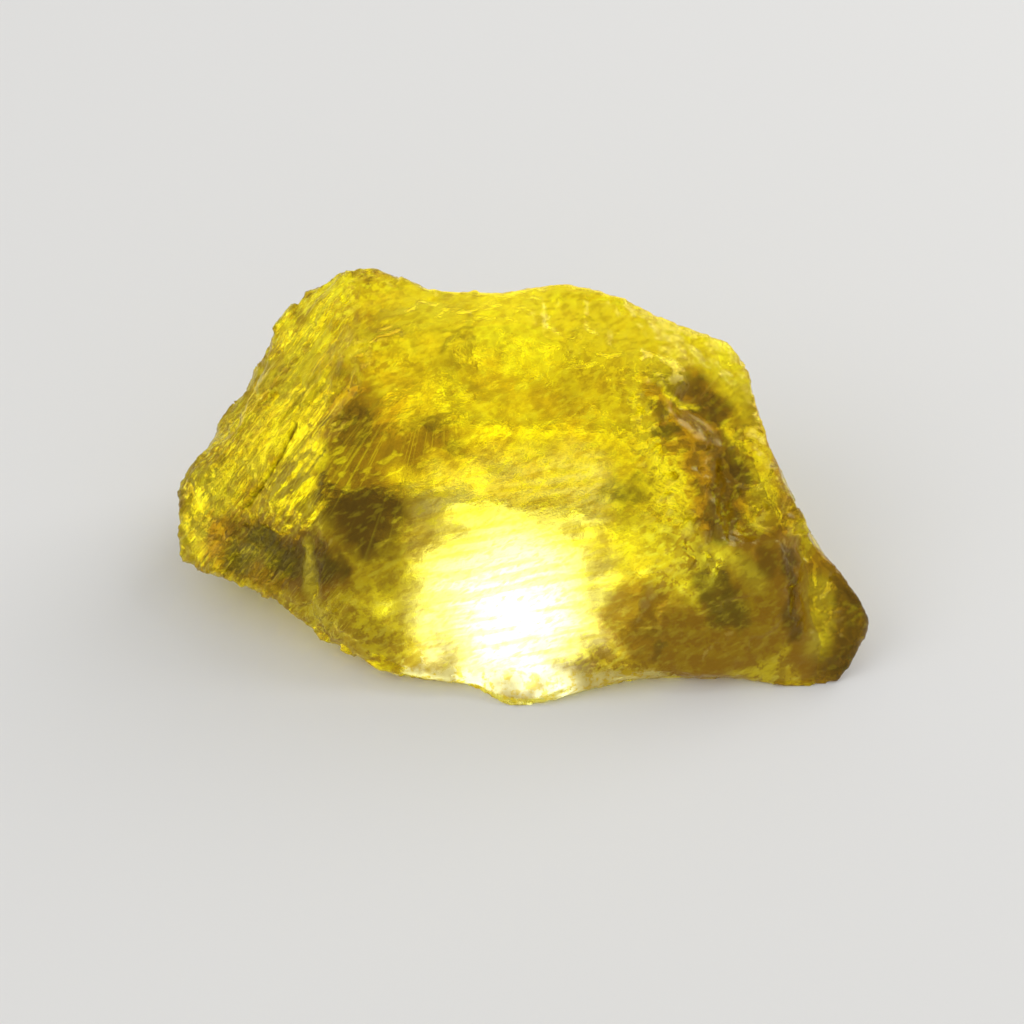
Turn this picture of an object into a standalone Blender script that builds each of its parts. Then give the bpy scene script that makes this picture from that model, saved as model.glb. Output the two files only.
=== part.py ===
"""A raw piece of amber, about 80 mm long: one solid lump with broken faces all round.

The lump starts as a block between its outermost corners, with a thin lip along its front foot.
Hollow faces are broken out of it by large balls, because amber breaks in shell-shaped hollows
whose rims are its crisp edges, and angular steps are cut where the break ran straight. Last, a
fine skin is drawn over the block for what the corners can't give: ripples that spread over each
hollow from the point that was struck, splinter lines up the left flank, hackles along the crest
and low lumps on the crust. The skin is then thinned out to the triangles that carry the shape,
and its underside is cut flat.

Metres, +Z up, X along the length, the broad broken face towards -Y. The origin is the middle
of the bounding box at its base.
"""

import math

import bmesh
import bpy
from mathutils import Matrix, Vector, noise

MM = 0.001

# Driving dimensions, in millimetres
SKIN_STEP = 0.38  # edge of the fine skin's faces
SKIN_FACES = 9000  # triangles of the thinned skin, before its base is cut
SMOOTHING = 2  # passes that take the voxel steps out of the skin
ON_HOLLOW = 0.45  # a point of the skin this near a hollow's ball lies on the hollow
CLEAR = 3.0  # how far a step's cutter reaches out over the face
SNAP = 0.3  # points this near the base are laid on it, so that the cut leaves no slivers
EDGE_ANGLE = math.radians(32)  # edges sharper than this are drawn crisp

# Outermost corners of the block, in millimetres: along, front to back, up
CORNERS = {
    "left end": [(-39.5, -5.0, 6.0), (-39.2, 1.2, 10.5), (-37.0, -6.0, 3.0), (-36.5, 8.0, 9.0)],
    "left flank": [(-35.0, 4.3, 14.3), (-28.4, 7.0, 22.3), (-27.4, 2.2, 24.6)],
    "left shoulder": [(-28.0, 11.0, 27.6), (-24.8, 12.4, 30.0)],
    "top": [(-21.8, 12.9, 32.4), (-17.8, 12.5, 34.6), (6.8, 9.7, 34.2), (15.3, 7.4, 32.4), (25.0, 6.6, 27.9)],
    "brow": [(-15.5, 2.2, 32.6), (-1.0, 2.6, 33.4), (14.9, 0.5, 29.8), (17.5, -2.0, 27.6)],
    "right flank": [(28.0, 3.9, 23.3), (30.5, 0.7, 19.3), (39.8, -14.3, 8.2), (40.4, -15.2, 5.0)],
    "foot": [(38.3, -18.8, 1.6), (36.0, -19.8, -1.0), (36.0, -12.0, -1.0)],
    "cheeks": [(-22.0, -7.3, 19.6), (-21.0, -15.0, 8.6), (19.6, -9.2, 20.4), (23.6, -14.6, 13.2)],
    "lobe": [(30.2, -16.4, 9.2), (27.0, -19.4, 2.6)],
    "front foot": [(-29.5, -7.6, 2.4), (-16.0, -19.2, 2.0), (-2.0, -21.4, 2.6), (12.0, -20.8, 2.4)],
    "base": [(-26.0, -5.0, -1.0), (-9.0, -18.5, -1.0), (16.0, -19.5, -1.0), (31.0, 4.0, -1.0), (-24.0, 12.0, -1)],
    "back": [(-30.0, 15.0, 12.0), (-13.0, 21.6, 16.0), (8.0, 20.8, 18.0), (24.0, 15.0, 16.0), (36.0, 0.5, 7)],
    "heel": [(-25.0, 17.5, 4.0), (-6.0, 23.4, 3.0), (14.0, 22.4, 3.5), (28.0, 13.0, 3.0)],
}
LIP = [
    (-7.0, -19.0, -1.0), (-1.2, -23.2, -1.0), (5.4, -23.1, -1.0), (11.5, -21.4, -1.0), (20.0, -19.0, -1.0),
    (-5.0, -18.6, 2.2), (-0.8, -22.4, 1.4), (5.0, -22.2, 1.6), (17.0, -18.2, 2.2), (0.0, -12.0, 2.0),
]


class Hollow:
    """A shell-shaped face, broken out by a ball.

    Its middle lies on the block, facing is the way it looks, rim is its radius and depth is how
    deep it goes. Its ripples spread from the point of the rim towards struck_from, and ripple is
    their height. Lengths are in millimetres.
    """

    def __init__(self, middle, facing, rim, depth, struck_from, ripple=0.0):
        self.middle = Vector(middle)
        self.rim = rim
        self.ripple = ripple
        out = Vector(facing).normalized()
        self.radius = (rim * rim + depth * depth) / (2 * depth)
        self.centre = self.middle + out * (self.radius - depth)
        blow = Vector(struck_from)
        self.struck = self.middle + (blow - out * out.dot(blow)).normalized() * rim

    def holds(self, point):
        """Whether this point, in millimetres, lies on the hollow."""
        off = abs((point - self.centre).length - self.radius)
        return off < ON_HOLLOW and (point - self.middle).length < 1.6 * self.rim


HOLLOWS = {
    # the broad front face, and the small shells at its lower right
    "window": Hollow((-2.6, -9.0, 18.0), (0.0, -0.80, 0.60), 20.5, 3.2, (0.9, 0.0, 1.0), ripple=0.09),
    "shell": Hollow((19.5, -17.6, 7.4), (0.05, -0.86, 0.51), 6.6, 1.1, (1.0, 0.0, -0.2), ripple=0.12),
    "pit": Hollow((24.0, -15.6, 10.8), (0.1, -0.8, 0.6), 3.2, 0.8, (0.0, 0.0, 1.0)),
    # what shapes the outline
    "saddle": Hollow((-3.6, 13.4, 33.0), (0.0, 0.72, 0.69), 11.5, 3.0, (-1.0, 0.4, 0.0), ripple=0.12),
    "right side": Hollow((34.2, -5.2, 15.6), (0.886, 0.33, 0.33), 16.5, 2.6, (-0.4, 0.6, 0.7), ripple=0.12),
    "arch": Hollow((20.5, -21.0, 0.0), (0.0, -0.86, -0.51), 13.5, 2.0, (1.0, 0.0, 0.0)),
    "left undercut": Hollow((-31.5, -8.0, 2.6), (-0.38, -0.66, -0.65), 8.5, 1.4, (1.0, 0.0, 0.0)),
    # the back, broken in three large shells
    "back left": Hollow((-20.0, 19.2, 14.5), (-0.38, 0.84, 0.38), 12.5, 2.4, (0.3, 0.2, 1.0), ripple=0.14),
    "back middle": Hollow((1.5, 22.2, 12.5), (0.05, 0.96, 0.26), 12.5, 2.4, (-0.6, 0.0, -1.0), ripple=0.14),
    "back right": Hollow((24.5, 13.2, 17.5), (0.60, 0.68, 0.42), 12.5, 2.4, (-0.5, 0.2, 0.8), ripple=0.12),
}


class Step:
    """An angular step: a shallow wall and a steep one that meet in a line below the block's face.

    Its middle lies on the face over the middle of that line, facing is the way out of the face,
    and the line runs along. Shallow and steep are how far each wall reaches over the face, and
    side is -1 where the shallow wall is on the line's other side. Lengths are in millimetres.
    """

    def __init__(self, middle, facing, along, length, shallow, steep, depth, side=1):
        out = Vector(facing).normalized()
        run = (Vector(along) - out * out.dot(Vector(along))).normalized()
        across = out.cross(run) * side
        spread = 1 + CLEAR / depth
        self.corners = []
        for end in (-0.5, 0.5):
            self.corners.append(Vector(middle) - out * depth + run * (end * length * 0.7))
            for reach in (shallow, -steep):
                over = run * (end * length * (0.7 + 0.3 * spread)) + across * (reach * spread)
                self.corners.append(Vector(middle) + out * CLEAR + over)


FLANK = (-0.59, -0.46, 0.67)  # the way the left flank faces
SPLINTER_LINE = Vector((0.59, 0.325, 0.738))  # runs up the left flank
STEPS = {
    # behind the crest, down the right
    "notch": Step((21.4, -2.0, 24.8), (0.40, -0.50, 0.76), (0.75, -0.3, -0.6), 9.0, 5.0, 2.4, 1.8),
    "trough": Step((25.2, -7.6, 19.0), (0.36, -0.56, 0.75), (0.30, -0.65, -0.62), 12.0, 2.2, 5.4, 2.1),
    "valley": Step((33.6, -13.8, 9.9), (0.20, -0.70, 0.68), (0.14, -0.70, -0.70), 15.0, 4.4, 2.6, 1.9),
    "side": Step((28.4, 2.4, 22.4), (0.85, 0.25, 0.45), (0.2, -0.9, 0.4), 10.0, 4.0, 1.2, 1.0),
    "low side": Step((34.2, -7.2, 12.6), (0.80, 0.30, 0.50), (0.2, -0.9, 0.4), 9.0, 3.4, 1.2, 1.0),
    # the splintered left flank
    "flank low": Step((-30.6, -3.8, 14.4), FLANK, SPLINTER_LINE, 17.0, 4.5, 1.4, 0.8),
    "flank middle": Step((-25.6, -2.6, 19.2), FLANK, SPLINTER_LINE, 20.0, 4.2, 1.2, 0.7),
    "flank high": Step((-23.0, 4.2, 26.4), FLANK, SPLINTER_LINE, 14.0, 3.6, 1.2, 0.6),
    "flank edge": Step((-32.4, 5.0, 18.2), (-0.75, 0.10, 0.65), (0.30, 0.90, 0.30), 12.0, 4.5, 2.0, 1.1),
    "flank foot": Step((-29.0, -8.2, 9.6), (-0.48, -0.74, 0.46), (0.9, -0.4, -0.1), 15.0, 5.0, 1.6, 0.8),
    # over the broad face, and across the back
    "brow": Step((-8.0, 2.0, 32.6), (-0.05, -0.5, 0.85), (1.0, 0.16, 0.1), 24.0, 3.4, 1.2, 0.8, side=-1),
    "back": Step((-4.0, 20.6, 20.0), (0.0, 0.7, 0.7), (1.0, 0.2, -0.25), 26.0, 5.0, 1.6, 1.2),
    "heel": Step((12.0, 23.4, 6.0), (0.1, 0.98, 0.1), (1.0, -0.1, 0.2), 22.0, 4.0, 1.6, 1.0, side=-1),
}

# Relief of the skin, in millimetres: how high it stands, and the span of its pattern
LUMP, LUMP_SPAN = 0.50, 8.0
GRIT, GRIT_SPAN = 0.16, 3.2
RIPPLE_SPAN, RIPPLE_WIDENING, RIPPLE_WANDER, RIPPLE_FADE = 4.2, 0.07, 1.6, 6.0
SPLINTER, SPLINTER_SPAN, SPLINTER_STRETCH = 0.45, 2.7, 12.0
SPLINTERS_START, SPLINTERS_FULL = -13.0, -21.0  # along X
HACKLE, HACKLE_SPAN, HACKLE_REACH = 0.80, 2.4, 4.5
CREST = [Vector((15.0, -4.0, 24.0)), Vector((18.4, -9.4, 19.0)), Vector((22.4, -14.0, 13.4))]


def new_object(name, bm):
    mesh = bpy.data.meshes.new(name)
    bm.to_mesh(mesh)
    bm.free()
    made = bpy.data.objects.new(name, mesh)
    bpy.context.scene.collection.objects.link(made)
    return made


def block_between(name, corners):
    """The closed block that has these outermost corners."""
    bm = bmesh.new()
    for corner in corners:
        bm.verts.new(Vector(corner) * MM)
    made = bmesh.ops.convex_hull(bm, input=bm.verts)
    inside = [piece for piece in made["geom_interior"] if isinstance(piece, bmesh.types.BMVert)]
    bmesh.ops.delete(bm, geom=inside, context="VERTS")
    bmesh.ops.recalc_face_normals(bm, faces=bm.faces)
    return new_object(name, bm)


def ball(name, hollow):
    bm = bmesh.new()
    place = Matrix.Translation(hollow.centre * MM)
    bmesh.ops.create_icosphere(bm, subdivisions=5, radius=hollow.radius * MM, matrix=place)
    return new_object(name, bm)


def boolean(block, tool, operation):
    step = block.modifiers.new(tool.name, "BOOLEAN")
    step.operation = operation
    step.object = tool
    tool.hide_render = True
    tool.display_type = "WIRE"


def evaluated(block):
    """The block as its modifiers leave it. They are then taken off."""
    bm = bmesh.new()
    bm.from_object(block, bpy.context.evaluated_depsgraph_get())
    block.modifiers.clear()
    return bm


def keep(block, bm):
    """Makes this the block's mesh."""
    bm.to_mesh(block.data)
    bm.free()


def skinned(block):
    """The block's shape as one fine, even skin."""
    skin = block.modifiers.new("skin", "REMESH")
    skin.mode = "VOXEL"
    skin.voxel_size = SKIN_STEP * MM
    return evaluated(block)


def splinters(point):
    """Long grooves up the left flank."""
    share = (point.x - SPLINTERS_START) / (SPLINTERS_FULL - SPLINTERS_START)
    if share <= 0:
        return 0.0
    line = SPLINTER_LINE.normalized()
    drawn_out = point - line * (point.dot(line) * (1 - 1 / SPLINTER_STRETCH))
    groove = abs(noise.noise(drawn_out / SPLINTER_SPAN))
    return SPLINTER * min(1.0, share) * (0.4 - 2 * groove)


def hackles(point):
    """Short teeth along the crest at the right of the broad face."""
    near = HACKLE_REACH
    for start, end in zip(CREST, CREST[1:]):
        run = end - start
        share = max(0.0, min(1.0, (point - start).dot(run) / run.length_squared))
        near = min(near, (point - start - run * share).length)
    return HACKLE * (1 - near / HACKLE_REACH) * noise.noise(point / HACKLE_SPAN)


def ripples(point, hollow):
    """Rings round the point where the hollow was struck, wider further out."""
    way = (point - hollow.struck).length
    way += RIPPLE_WANDER * noise.noise(point / 11)
    fade = min(1.0, way / RIPPLE_FADE)
    return hollow.ripple * fade * math.sin(2 * math.pi * way / (RIPPLE_SPAN + way * RIPPLE_WIDENING))


def relief(point):
    """How far the skin rises at this point, all in millimetres."""
    rise = splinters(point) + hackles(point) + GRIT * noise.noise(point / GRIT_SPAN)
    for hollow in HOLLOWS.values():
        if hollow.ripple and hollow.holds(point):
            return rise + ripples(point, hollow)
    return rise + LUMP * noise.noise(point / LUMP_SPAN + Vector((3.1, 0.0, 0.0)))


def raise_relief(bm):
    for _ in range(SMOOTHING):
        bmesh.ops.smooth_vert(
            bm, verts=bm.verts, factor=0.5, use_axis_x=True, use_axis_y=True, use_axis_z=True
        )
    bm.normal_update()
    moved = [(vert, vert.co + vert.normal * (relief(vert.co / MM) * MM)) for vert in bm.verts]
    for vert, place in moved:
        vert.co = place


def thinned(block):
    """The skin with only the triangles that carry the shape."""
    thin = block.modifiers.new("thin", "DECIMATE")
    thin.ratio = SKIN_FACES / (2 * len(block.data.polygons))
    thin.use_collapse_triangulate = True
    return evaluated(block)


def cut_base(bm):
    """Cuts the underside flat at Z = 0 and closes it."""
    for vert in bm.verts:
        if abs(vert.co.z) < SNAP * MM:
            vert.co.z = 0.0
    geometry = bm.verts[:] + bm.edges[:] + bm.faces[:]
    bmesh.ops.bisect_plane(
        bm, geom=geometry, dist=0.01 * MM, plane_co=(0, 0, 0), plane_no=(0, 0, 1), clear_inner=True
    )
    rim = [edge for edge in bm.edges if edge.is_boundary]
    bmesh.ops.holes_fill(bm, edges=rim)
    bmesh.ops.triangulate(bm, faces=[face for face in bm.faces if len(face.verts) > 3])


def stand_on_origin(bm):
    """Puts the middle of the bounding box's base on the origin."""
    low = Vector([min(vert.co[axis] for vert in bm.verts) for axis in range(3)])
    high = Vector([max(vert.co[axis] for vert in bm.verts) for axis in range(3)])
    middle = (low + high) / 2
    bmesh.ops.translate(bm, verts=bm.verts, vec=(-middle.x, -middle.y, -low.z))


def amber_material():
    made = bpy.data.materials.new("amber")
    made.use_nodes = True
    surface = made.node_tree.nodes["Principled BSDF"]
    surface.inputs["Base Color"].default_value = (0.83, 0.62, 0.02, 1.0)
    surface.inputs["Roughness"].default_value = 0.18
    surface.inputs["Metallic"].default_value = 0.0
    surface.inputs["Transmission Weight"].default_value = 0.9
    surface.inputs["IOR"].default_value = 1.54
    return made


def main():
    for old in list(bpy.data.objects):
        bpy.data.objects.remove(old)
    amber = block_between("amber_piece", [corner for group in CORNERS.values() for corner in group])
    boolean(amber, block_between("lip", LIP), "UNION")
    for name, hollow in HOLLOWS.items():
        boolean(amber, ball(name, hollow), "DIFFERENCE")
    for name, step in STEPS.items():
        boolean(amber, block_between(name + " step", step.corners), "DIFFERENCE")
    bm = skinned(amber)
    raise_relief(bm)
    keep(amber, bm)
    # a second skin heals the places where the relief folded the first one over
    keep(amber, skinned(amber))
    bm = thinned(amber)
    cut_base(bm)
    stand_on_origin(bm)
    keep(amber, bm)
    amber.data.shade_smooth()
    amber.data.set_sharp_from_angle(angle=EDGE_ANGLE)
    amber.data.materials.append(amber_material())


main()
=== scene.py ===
"""Looks of the raw amber piece: the lump itself, and the stage it is shown on.

The lump copies the solid's form, rounds off its triangles, and gives it the relief and the
clear to cloudy golden body of real amber, with painted glow, highlights and shade in its
colour. The stage is a pale floor in a soft studio, with a
lit plate under the lump that shines up through it.
"""

import math

import bmesh
import bpy
import numpy as np
from bpy.props import FloatProperty, FloatVectorProperty, PointerProperty
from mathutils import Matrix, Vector, noise


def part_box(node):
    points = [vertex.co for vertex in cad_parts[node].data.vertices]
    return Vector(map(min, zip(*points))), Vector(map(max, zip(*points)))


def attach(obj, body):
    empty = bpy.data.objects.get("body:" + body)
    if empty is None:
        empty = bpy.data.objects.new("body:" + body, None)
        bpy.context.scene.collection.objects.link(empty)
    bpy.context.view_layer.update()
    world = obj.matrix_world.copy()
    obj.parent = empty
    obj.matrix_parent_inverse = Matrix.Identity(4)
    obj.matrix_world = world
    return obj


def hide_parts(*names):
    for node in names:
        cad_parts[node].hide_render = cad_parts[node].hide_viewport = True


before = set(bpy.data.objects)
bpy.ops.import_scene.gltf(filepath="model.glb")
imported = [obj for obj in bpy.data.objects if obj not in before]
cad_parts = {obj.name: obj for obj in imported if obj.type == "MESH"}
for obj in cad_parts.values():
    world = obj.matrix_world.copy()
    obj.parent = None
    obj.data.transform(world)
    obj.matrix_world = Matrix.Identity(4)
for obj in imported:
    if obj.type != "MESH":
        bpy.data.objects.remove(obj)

bl_info = {
    "name": "Raw Amber",
    "version": (1, 0, 0),
    "blender": (4, 5, 0),
    "location": "View3D > Sidebar > Amber",
    "description": "Builds a raw amber piece on a lamp-lit stage",
    "category": "Add Mesh",
}

MM = 0.001
NODE = "amber_piece"
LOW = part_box(NODE)[0]
MERGE = 0.001 * MM  # points closer than this are one point


# ---------------------------------------------------------------- settings


class AmberSizes(bpy.types.PropertyGroup):
    """Sizes of the lump's relief."""

    step: FloatProperty(
        name="Skin step",
        description="Edge of the skin's faces",
        default=0.355 * MM, unit="LENGTH",
    )
    splinter: FloatProperty(
        name="Splinters",
        description="Depth of the splinter lines up the left flank",
        default=0.30 * MM, unit="LENGTH",
    )
    hackle: FloatProperty(
        name="Hackles",
        description="Height of the teeth on the crest",
        default=0.60 * MM, unit="LENGTH",
    )
    chips: FloatProperty(
        name="Chips",
        description="Depth of the crust's small flat chips",
        default=0.15 * MM, unit="LENGTH",
    )
    crust: FloatProperty(
        name="Crust",
        description="Height of the crust's fine lumps",
        default=0.10 * MM, unit="LENGTH",
    )
    pits: FloatProperty(
        name="Pits",
        description="Depth of the crust's pits",
        default=0.20 * MM, unit="LENGTH",
    )
    ripple: FloatProperty(
        name="Ripples",
        description="Height of the flow lines on the broad face",
        default=0.018 * MM, unit="LENGTH",
    )
    crack: FloatProperty(
        name="Cracks",
        description="Depth of the two open cracks",
        default=0.55 * MM, unit="LENGTH",
    )


class AmberColours(bpy.types.PropertyGroup):
    """Colours of the lump."""

    gold: FloatVectorProperty(
        name="Gold",
        description="The clear body",
        subtype="COLOR", size=4, default=(0.97, 0.88, 0.006, 1.0),
    )
    # Lemon is also a painted glow where the lit plate's hot place shows through.
    lemon: FloatVectorProperty(
        name="Lemon",
        description="The clearest places",
        subtype="COLOR", size=4, default=(0.99, 0.975, 0.60, 1.0),
    )
    frost: FloatVectorProperty(
        name="Frost",
        description="Pale gritty lip along the foot",
        subtype="COLOR", size=4, default=(0.93, 0.93, 0.42, 1.0),
    )
    # Painted highlight: the colour of the painted glow, glints and sheen.
    painted_highlight: FloatVectorProperty(
        name="Straw",
        description="Bright edges and streaks",
        subtype="COLOR", size=4, default=(1.0, 0.95, 0.05, 1.0),
    )
    honey: FloatVectorProperty(
        name="Honey",
        description="Cloudier, deeper body",
        subtype="COLOR", size=4, default=(0.78, 0.58, 0.004, 1.0),
    )
    amber: FloatVectorProperty(
        name="Amber",
        description="Small deeper flecks",
        subtype="COLOR", size=4, default=(0.36, 0.20, 0.002, 1.0),
    )
    # Deep also paints shade in the dark patches; on the flank's bands it is the body's own tone.
    deep: FloatVectorProperty(
        name="Deep",
        description="Broad deeper patches",
        subtype="COLOR", size=4, default=(0.27, 0.11, 0.001, 1.0),
    )
    # Brown also paints shade in the dark patches; on the dark lines and cracks it is the body's own colour.
    brown: FloatVectorProperty(
        name="Brown",
        description="Burnt patches",
        subtype="COLOR", size=4, default=(0.030, 0.010, 0.0004, 1.0),
    )
    # Olive is partly the body's own tone and partly painted shade in the hollows.
    olive: FloatVectorProperty(
        name="Olive",
        description="Greenish hollows",
        subtype="COLOR", size=4, default=(0.030, 0.024, 0.0006, 1.0),
    )
    taken: FloatVectorProperty(
        name="Absorption",
        description="Colour the body lets through",
        subtype="COLOR", size=4, default=(0.985, 0.975, 0.22, 1.0),
    )
    density: FloatProperty(
        name="Density",
        description="How fast the body takes light off, per metre",
        default=120.0,
    )


class StageSettings(bpy.types.PropertyGroup):
    """The floor, the lamps and the camera."""

    floor: FloatVectorProperty(
        name="Floor",
        description="Colour of the floor",
        subtype="COLOR", size=4, default=(0.78, 0.775, 0.76, 1.0),
    )
    lens: FloatProperty(
        name="Lens",
        description="The camera's focal length, in millimetres",
        default=85.0,
    )
    elevation: FloatProperty(
        name="Elevation",
        description="The camera's height above the horizon",
        default=math.radians(45.0), subtype="ANGLE",
    )
    distance: FloatProperty(
        name="Distance",
        description="From the camera to what it looks at",
        default=276.0 * MM, unit="LENGTH",
    )
    target: FloatVectorProperty(
        name="Target",
        description="What the camera looks at",
        subtype="TRANSLATION", size=3, default=(-0.8 * MM, -5.0 * MM, 12.65 * MM),
    )
    hot_place: FloatVectorProperty(
        name="Hot place",
        description="Where the plate under the lump is brightest",
        subtype="TRANSLATION", size=3, default=(-0.6 * MM, -5.0 * MM, 0.0),
    )
    hot_size: FloatProperty(
        name="Hot size",
        description="How far the plate's bright middle reaches",
        default=20.0 * MM, unit="LENGTH",
    )
    hot_glow: FloatProperty(
        name="Hot glow",
        description="Brightness of the plate's middle",
        default=5.2,
    )
    side_place: FloatVectorProperty(
        name="Side place",
        description="Middle of the plate's second, fainter bright place",
        subtype="TRANSLATION", size=3, default=(17.0 * MM, 2.0 * MM, 0.0),
    )
    side_size: FloatProperty(
        name="Side size",
        description="How far the second place reaches",
        default=11.0 * MM, unit="LENGTH",
    )
    side_glow: FloatProperty(
        name="Side glow",
        description="Brightness of the second place",
        default=0.7,
    )
    gathered: FloatProperty(
        name="Gathered light",
        description="How much brighter the floor is at most, seen through the lump",
        default=1.9,
    )
    pool_place: FloatVectorProperty(
        name="Pool place",
        description="Middle of the light gathered behind the lump",
        subtype="TRANSLATION", size=3, default=(-14.0 * MM, 10.0 * MM, 0.0),
    )
    pool_size: FloatProperty(
        name="Pool size",
        description="How far the gathered light reaches",
        default=45.0 * MM, unit="LENGTH",
    )
    echo_glow: FloatProperty(
        name="Echo glow",
        description="Most that the plate's middle shows once light has turned inside the lump",
        default=1.0,
    )
    table_colour: FloatVectorProperty(
        name="Table colour",
        description="Colour of the rest of the plate",
        subtype="COLOR", size=4, default=(1.0, 0.74, 0.35, 1.0),
    )
    table_glow: FloatProperty(
        name="Table glow",
        description="Brightness of the rest of the plate",
        default=0.36,
    )


# ---------------------------------------------------------------- marks on the lump

# Each mark is (from, to, width, softness, strength): a strip from one place to the next, or a
# round patch where both are the same. All in millimetres.


def spot(place, radius, soft, strength):
    return (place, place, radius, soft, strength)


def strip(places, width, soft, strength):
    return [(start, end, width, soft, strength) for start, end in zip(places, places[1:])]


# The dark patches below are partly the body's own deeper tone and partly painted shade, where little light
# gets through the lump.
DEEP_AND_SHADE = [
    *strip([(15.8, -0.3, 28.7), (19.1, 0.6, 26.9), (21.6, -0.1, 24.6)], 3.0, 0.3, 1.0),
    *strip(
        [
            (17.5, -1.5, 26.5), (19.5, -3.0, 24.0), (20.5, -4.8, 22.0),
            (22.7, -7.5, 18.9), (22.6, -11.0, 16.3),
        ],
        4.0, 0.35, 1.0,
    ),
    *strip([(26.6, -13.6, 13.7), (28.5, -12.0, 14.5), (27.4, -14.6, 12.4)], 3.0, 0.35, 0.95),
    *strip(
        [(28.5, -16.4, 10.1), (28.3, -17.7, 7.4), (26.5, -18.6, 5.1), (23.2, -19.2, 4.1)],
        4.2, 0.6, 0.85,
    ),
    spot((24.0, -15.5, 9.0), 5.5, 0.5, 0.75),
    *strip([(13.0, -17.0, 8.0), (18.1, -18.1, 5.3), (21.0, -18.5, 3.0)], 5.2, 0.4, 0.85),
    *strip([(35.5, -10.5, 9.8), (37.3, -16.4, 6.0), (36.3, -18.9, 2.1)], 5.6, 0.5, 1.0),
    *strip([(30.0, -11.8, 13.1), (30.7, -16.2, 8.5), (33.8, -19.4, 1.8)], 3.0, 0.4, 0.95),
    *strip([(26.4, -1.0, 22.0), (29.4, -9.0, 16.4)], 3.4, 0.8, 0.6),
    *strip([(-17.5, -2.6, 25.2), (-19.0, -5.5, 21.0), (-17.2, -9.2, 15.8)], 6.0, 0.6, 0.9),
    *strip([(-15.0, -4.4, 21.6), (-9.0, -3.6, 22.4)], 4.6, 0.8, 0.85),
    *strip([(-33.0, -6.2, 8.9), (-27.2, -9.4, 9.3), (-22.5, -12.2, 10.8)], 5.2, 0.5, 1.0),
    *strip([(-38.6, -5.0, 7.3), (-36.8, -7.3, 6.0), (-32.0, -11.0, 3.0)], 3.6, 0.8, 0.25),
    spot((-16.0, 5.4, 33.2), 5.5, 0.8, 0.6),
    spot((-19.2, 0.9, 28.4), 3.8, 0.8, 0.7),
]
# Brown patches: partly the body's own darker tone, partly painted shade.
BROWN_AND_SHADE = [
    *strip([(16.4, 0.0, 28.6), (19.6, 0.6, 26.4), (22.1, -0.4, 24.0)], 2.2, 0.4, 0.9),
    *strip([(19.7, -6.4, 21.9), (20.4, -8.9, 19.7)], 1.0, 0.4, 0.8),
    *strip([(21.9, -3.5, 21.9), (24.5, -5.7, 19.1)], 2.3, 0.4, 0.9),
    *strip([(18.2, -1.6, 26.0), (20.6, -3.8, 22.8)], 2.5, 0.6, 0.85),
    *strip([(-18.6, -3.6, 23.6), (-19.6, -5.6, 20.6)], 4.2, 0.7, 0.97),
    *strip([(22.6, -5.5, 19.6), (22.9, -8.5, 17.6), (22.6, -11.4, 16.0)], 2.7, 0.35, 1.0),
    *strip([(-18.8, -4.2, 23.2), (-19.5, -7.0, 18.8), (-16.7, -9.1, 15.5)], 5.4, 0.6, 0.95),
    *strip([(-16.0, -4.6, 21.2), (-9.0, -3.4, 22.6)], 5.0, 0.9, 0.9),
    *strip([(-31.0, -6.8, 9.4), (-27.2, -9.4, 9.3), (-22.5, -12.0, 11.5)], 4.2, 0.6, 0.95),
    *strip([(37.5, -12.0, 8.0), (38.0, -16.4, 5.0), (36.3, -18.9, 2.1)], 4.2, 0.8, 0.9),
    spot((15.0, -17.6, 6.5), 3.0, 0.9, 0.45),
    *strip([(30.0, -11.8, 13.1), (30.7, -16.2, 8.5), (31.2, -17.7, 6.0)], 1.8, 0.7, 0.85),
    spot((27.2, -13.4, 13.2), 2.2, 0.6, 0.6),
    spot((-19.4, 0.9, 28.3), 1.8, 0.8, 0.6),
]
# Olive in the hollows: partly the body's own tone, partly painted shade.
OLIVE_AND_SHADE = [
    spot((15.5, -3.1, 26.7), 1.5, 0.5, 0.7),
    *strip([(15.6, -4.7, 24.4), (17.8, -4.7, 24.6)], 1.2, 0.4, 0.9),
    *strip([(20.9, -14.7, 11.7), (22.7, -15.8, 9.5), (23.4, -16.5, 8.2)], 3.0, 0.6, 0.85),
    *strip([(11.0, -7.5, 18.0), (13.8, -7.9, 18.6)], 3.0, 0.8, 0.85),
    *strip([(-32.5, -8.0, 7.6), (-29.3, -7.4, 10.6), (-27.2, -9.4, 9.3)], 3.2, 0.7, 0.8),
    spot((-21.0, -12.8, 11.8), 2.6, 0.7, 0.7),
    spot((15.8, -19.0, 4.7), 1.4, 0.6, 0.7),
]
CRACKS = [
    *strip([(-25.2, 0.2, 21.4), (-26.9, -1.6, 18.9), (-28.3, -2.8, 17.0)], 0.34, 0.6, 1.0),
    *strip(
        [(-28.3, -2.8, 17.0), (-29.2, -3.3, 15.7), (-30.7, -3.8, 13.7), (-31.8, -4.1, 12.4)],
        0.42, 0.7, 1.0,
    ),
]
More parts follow.
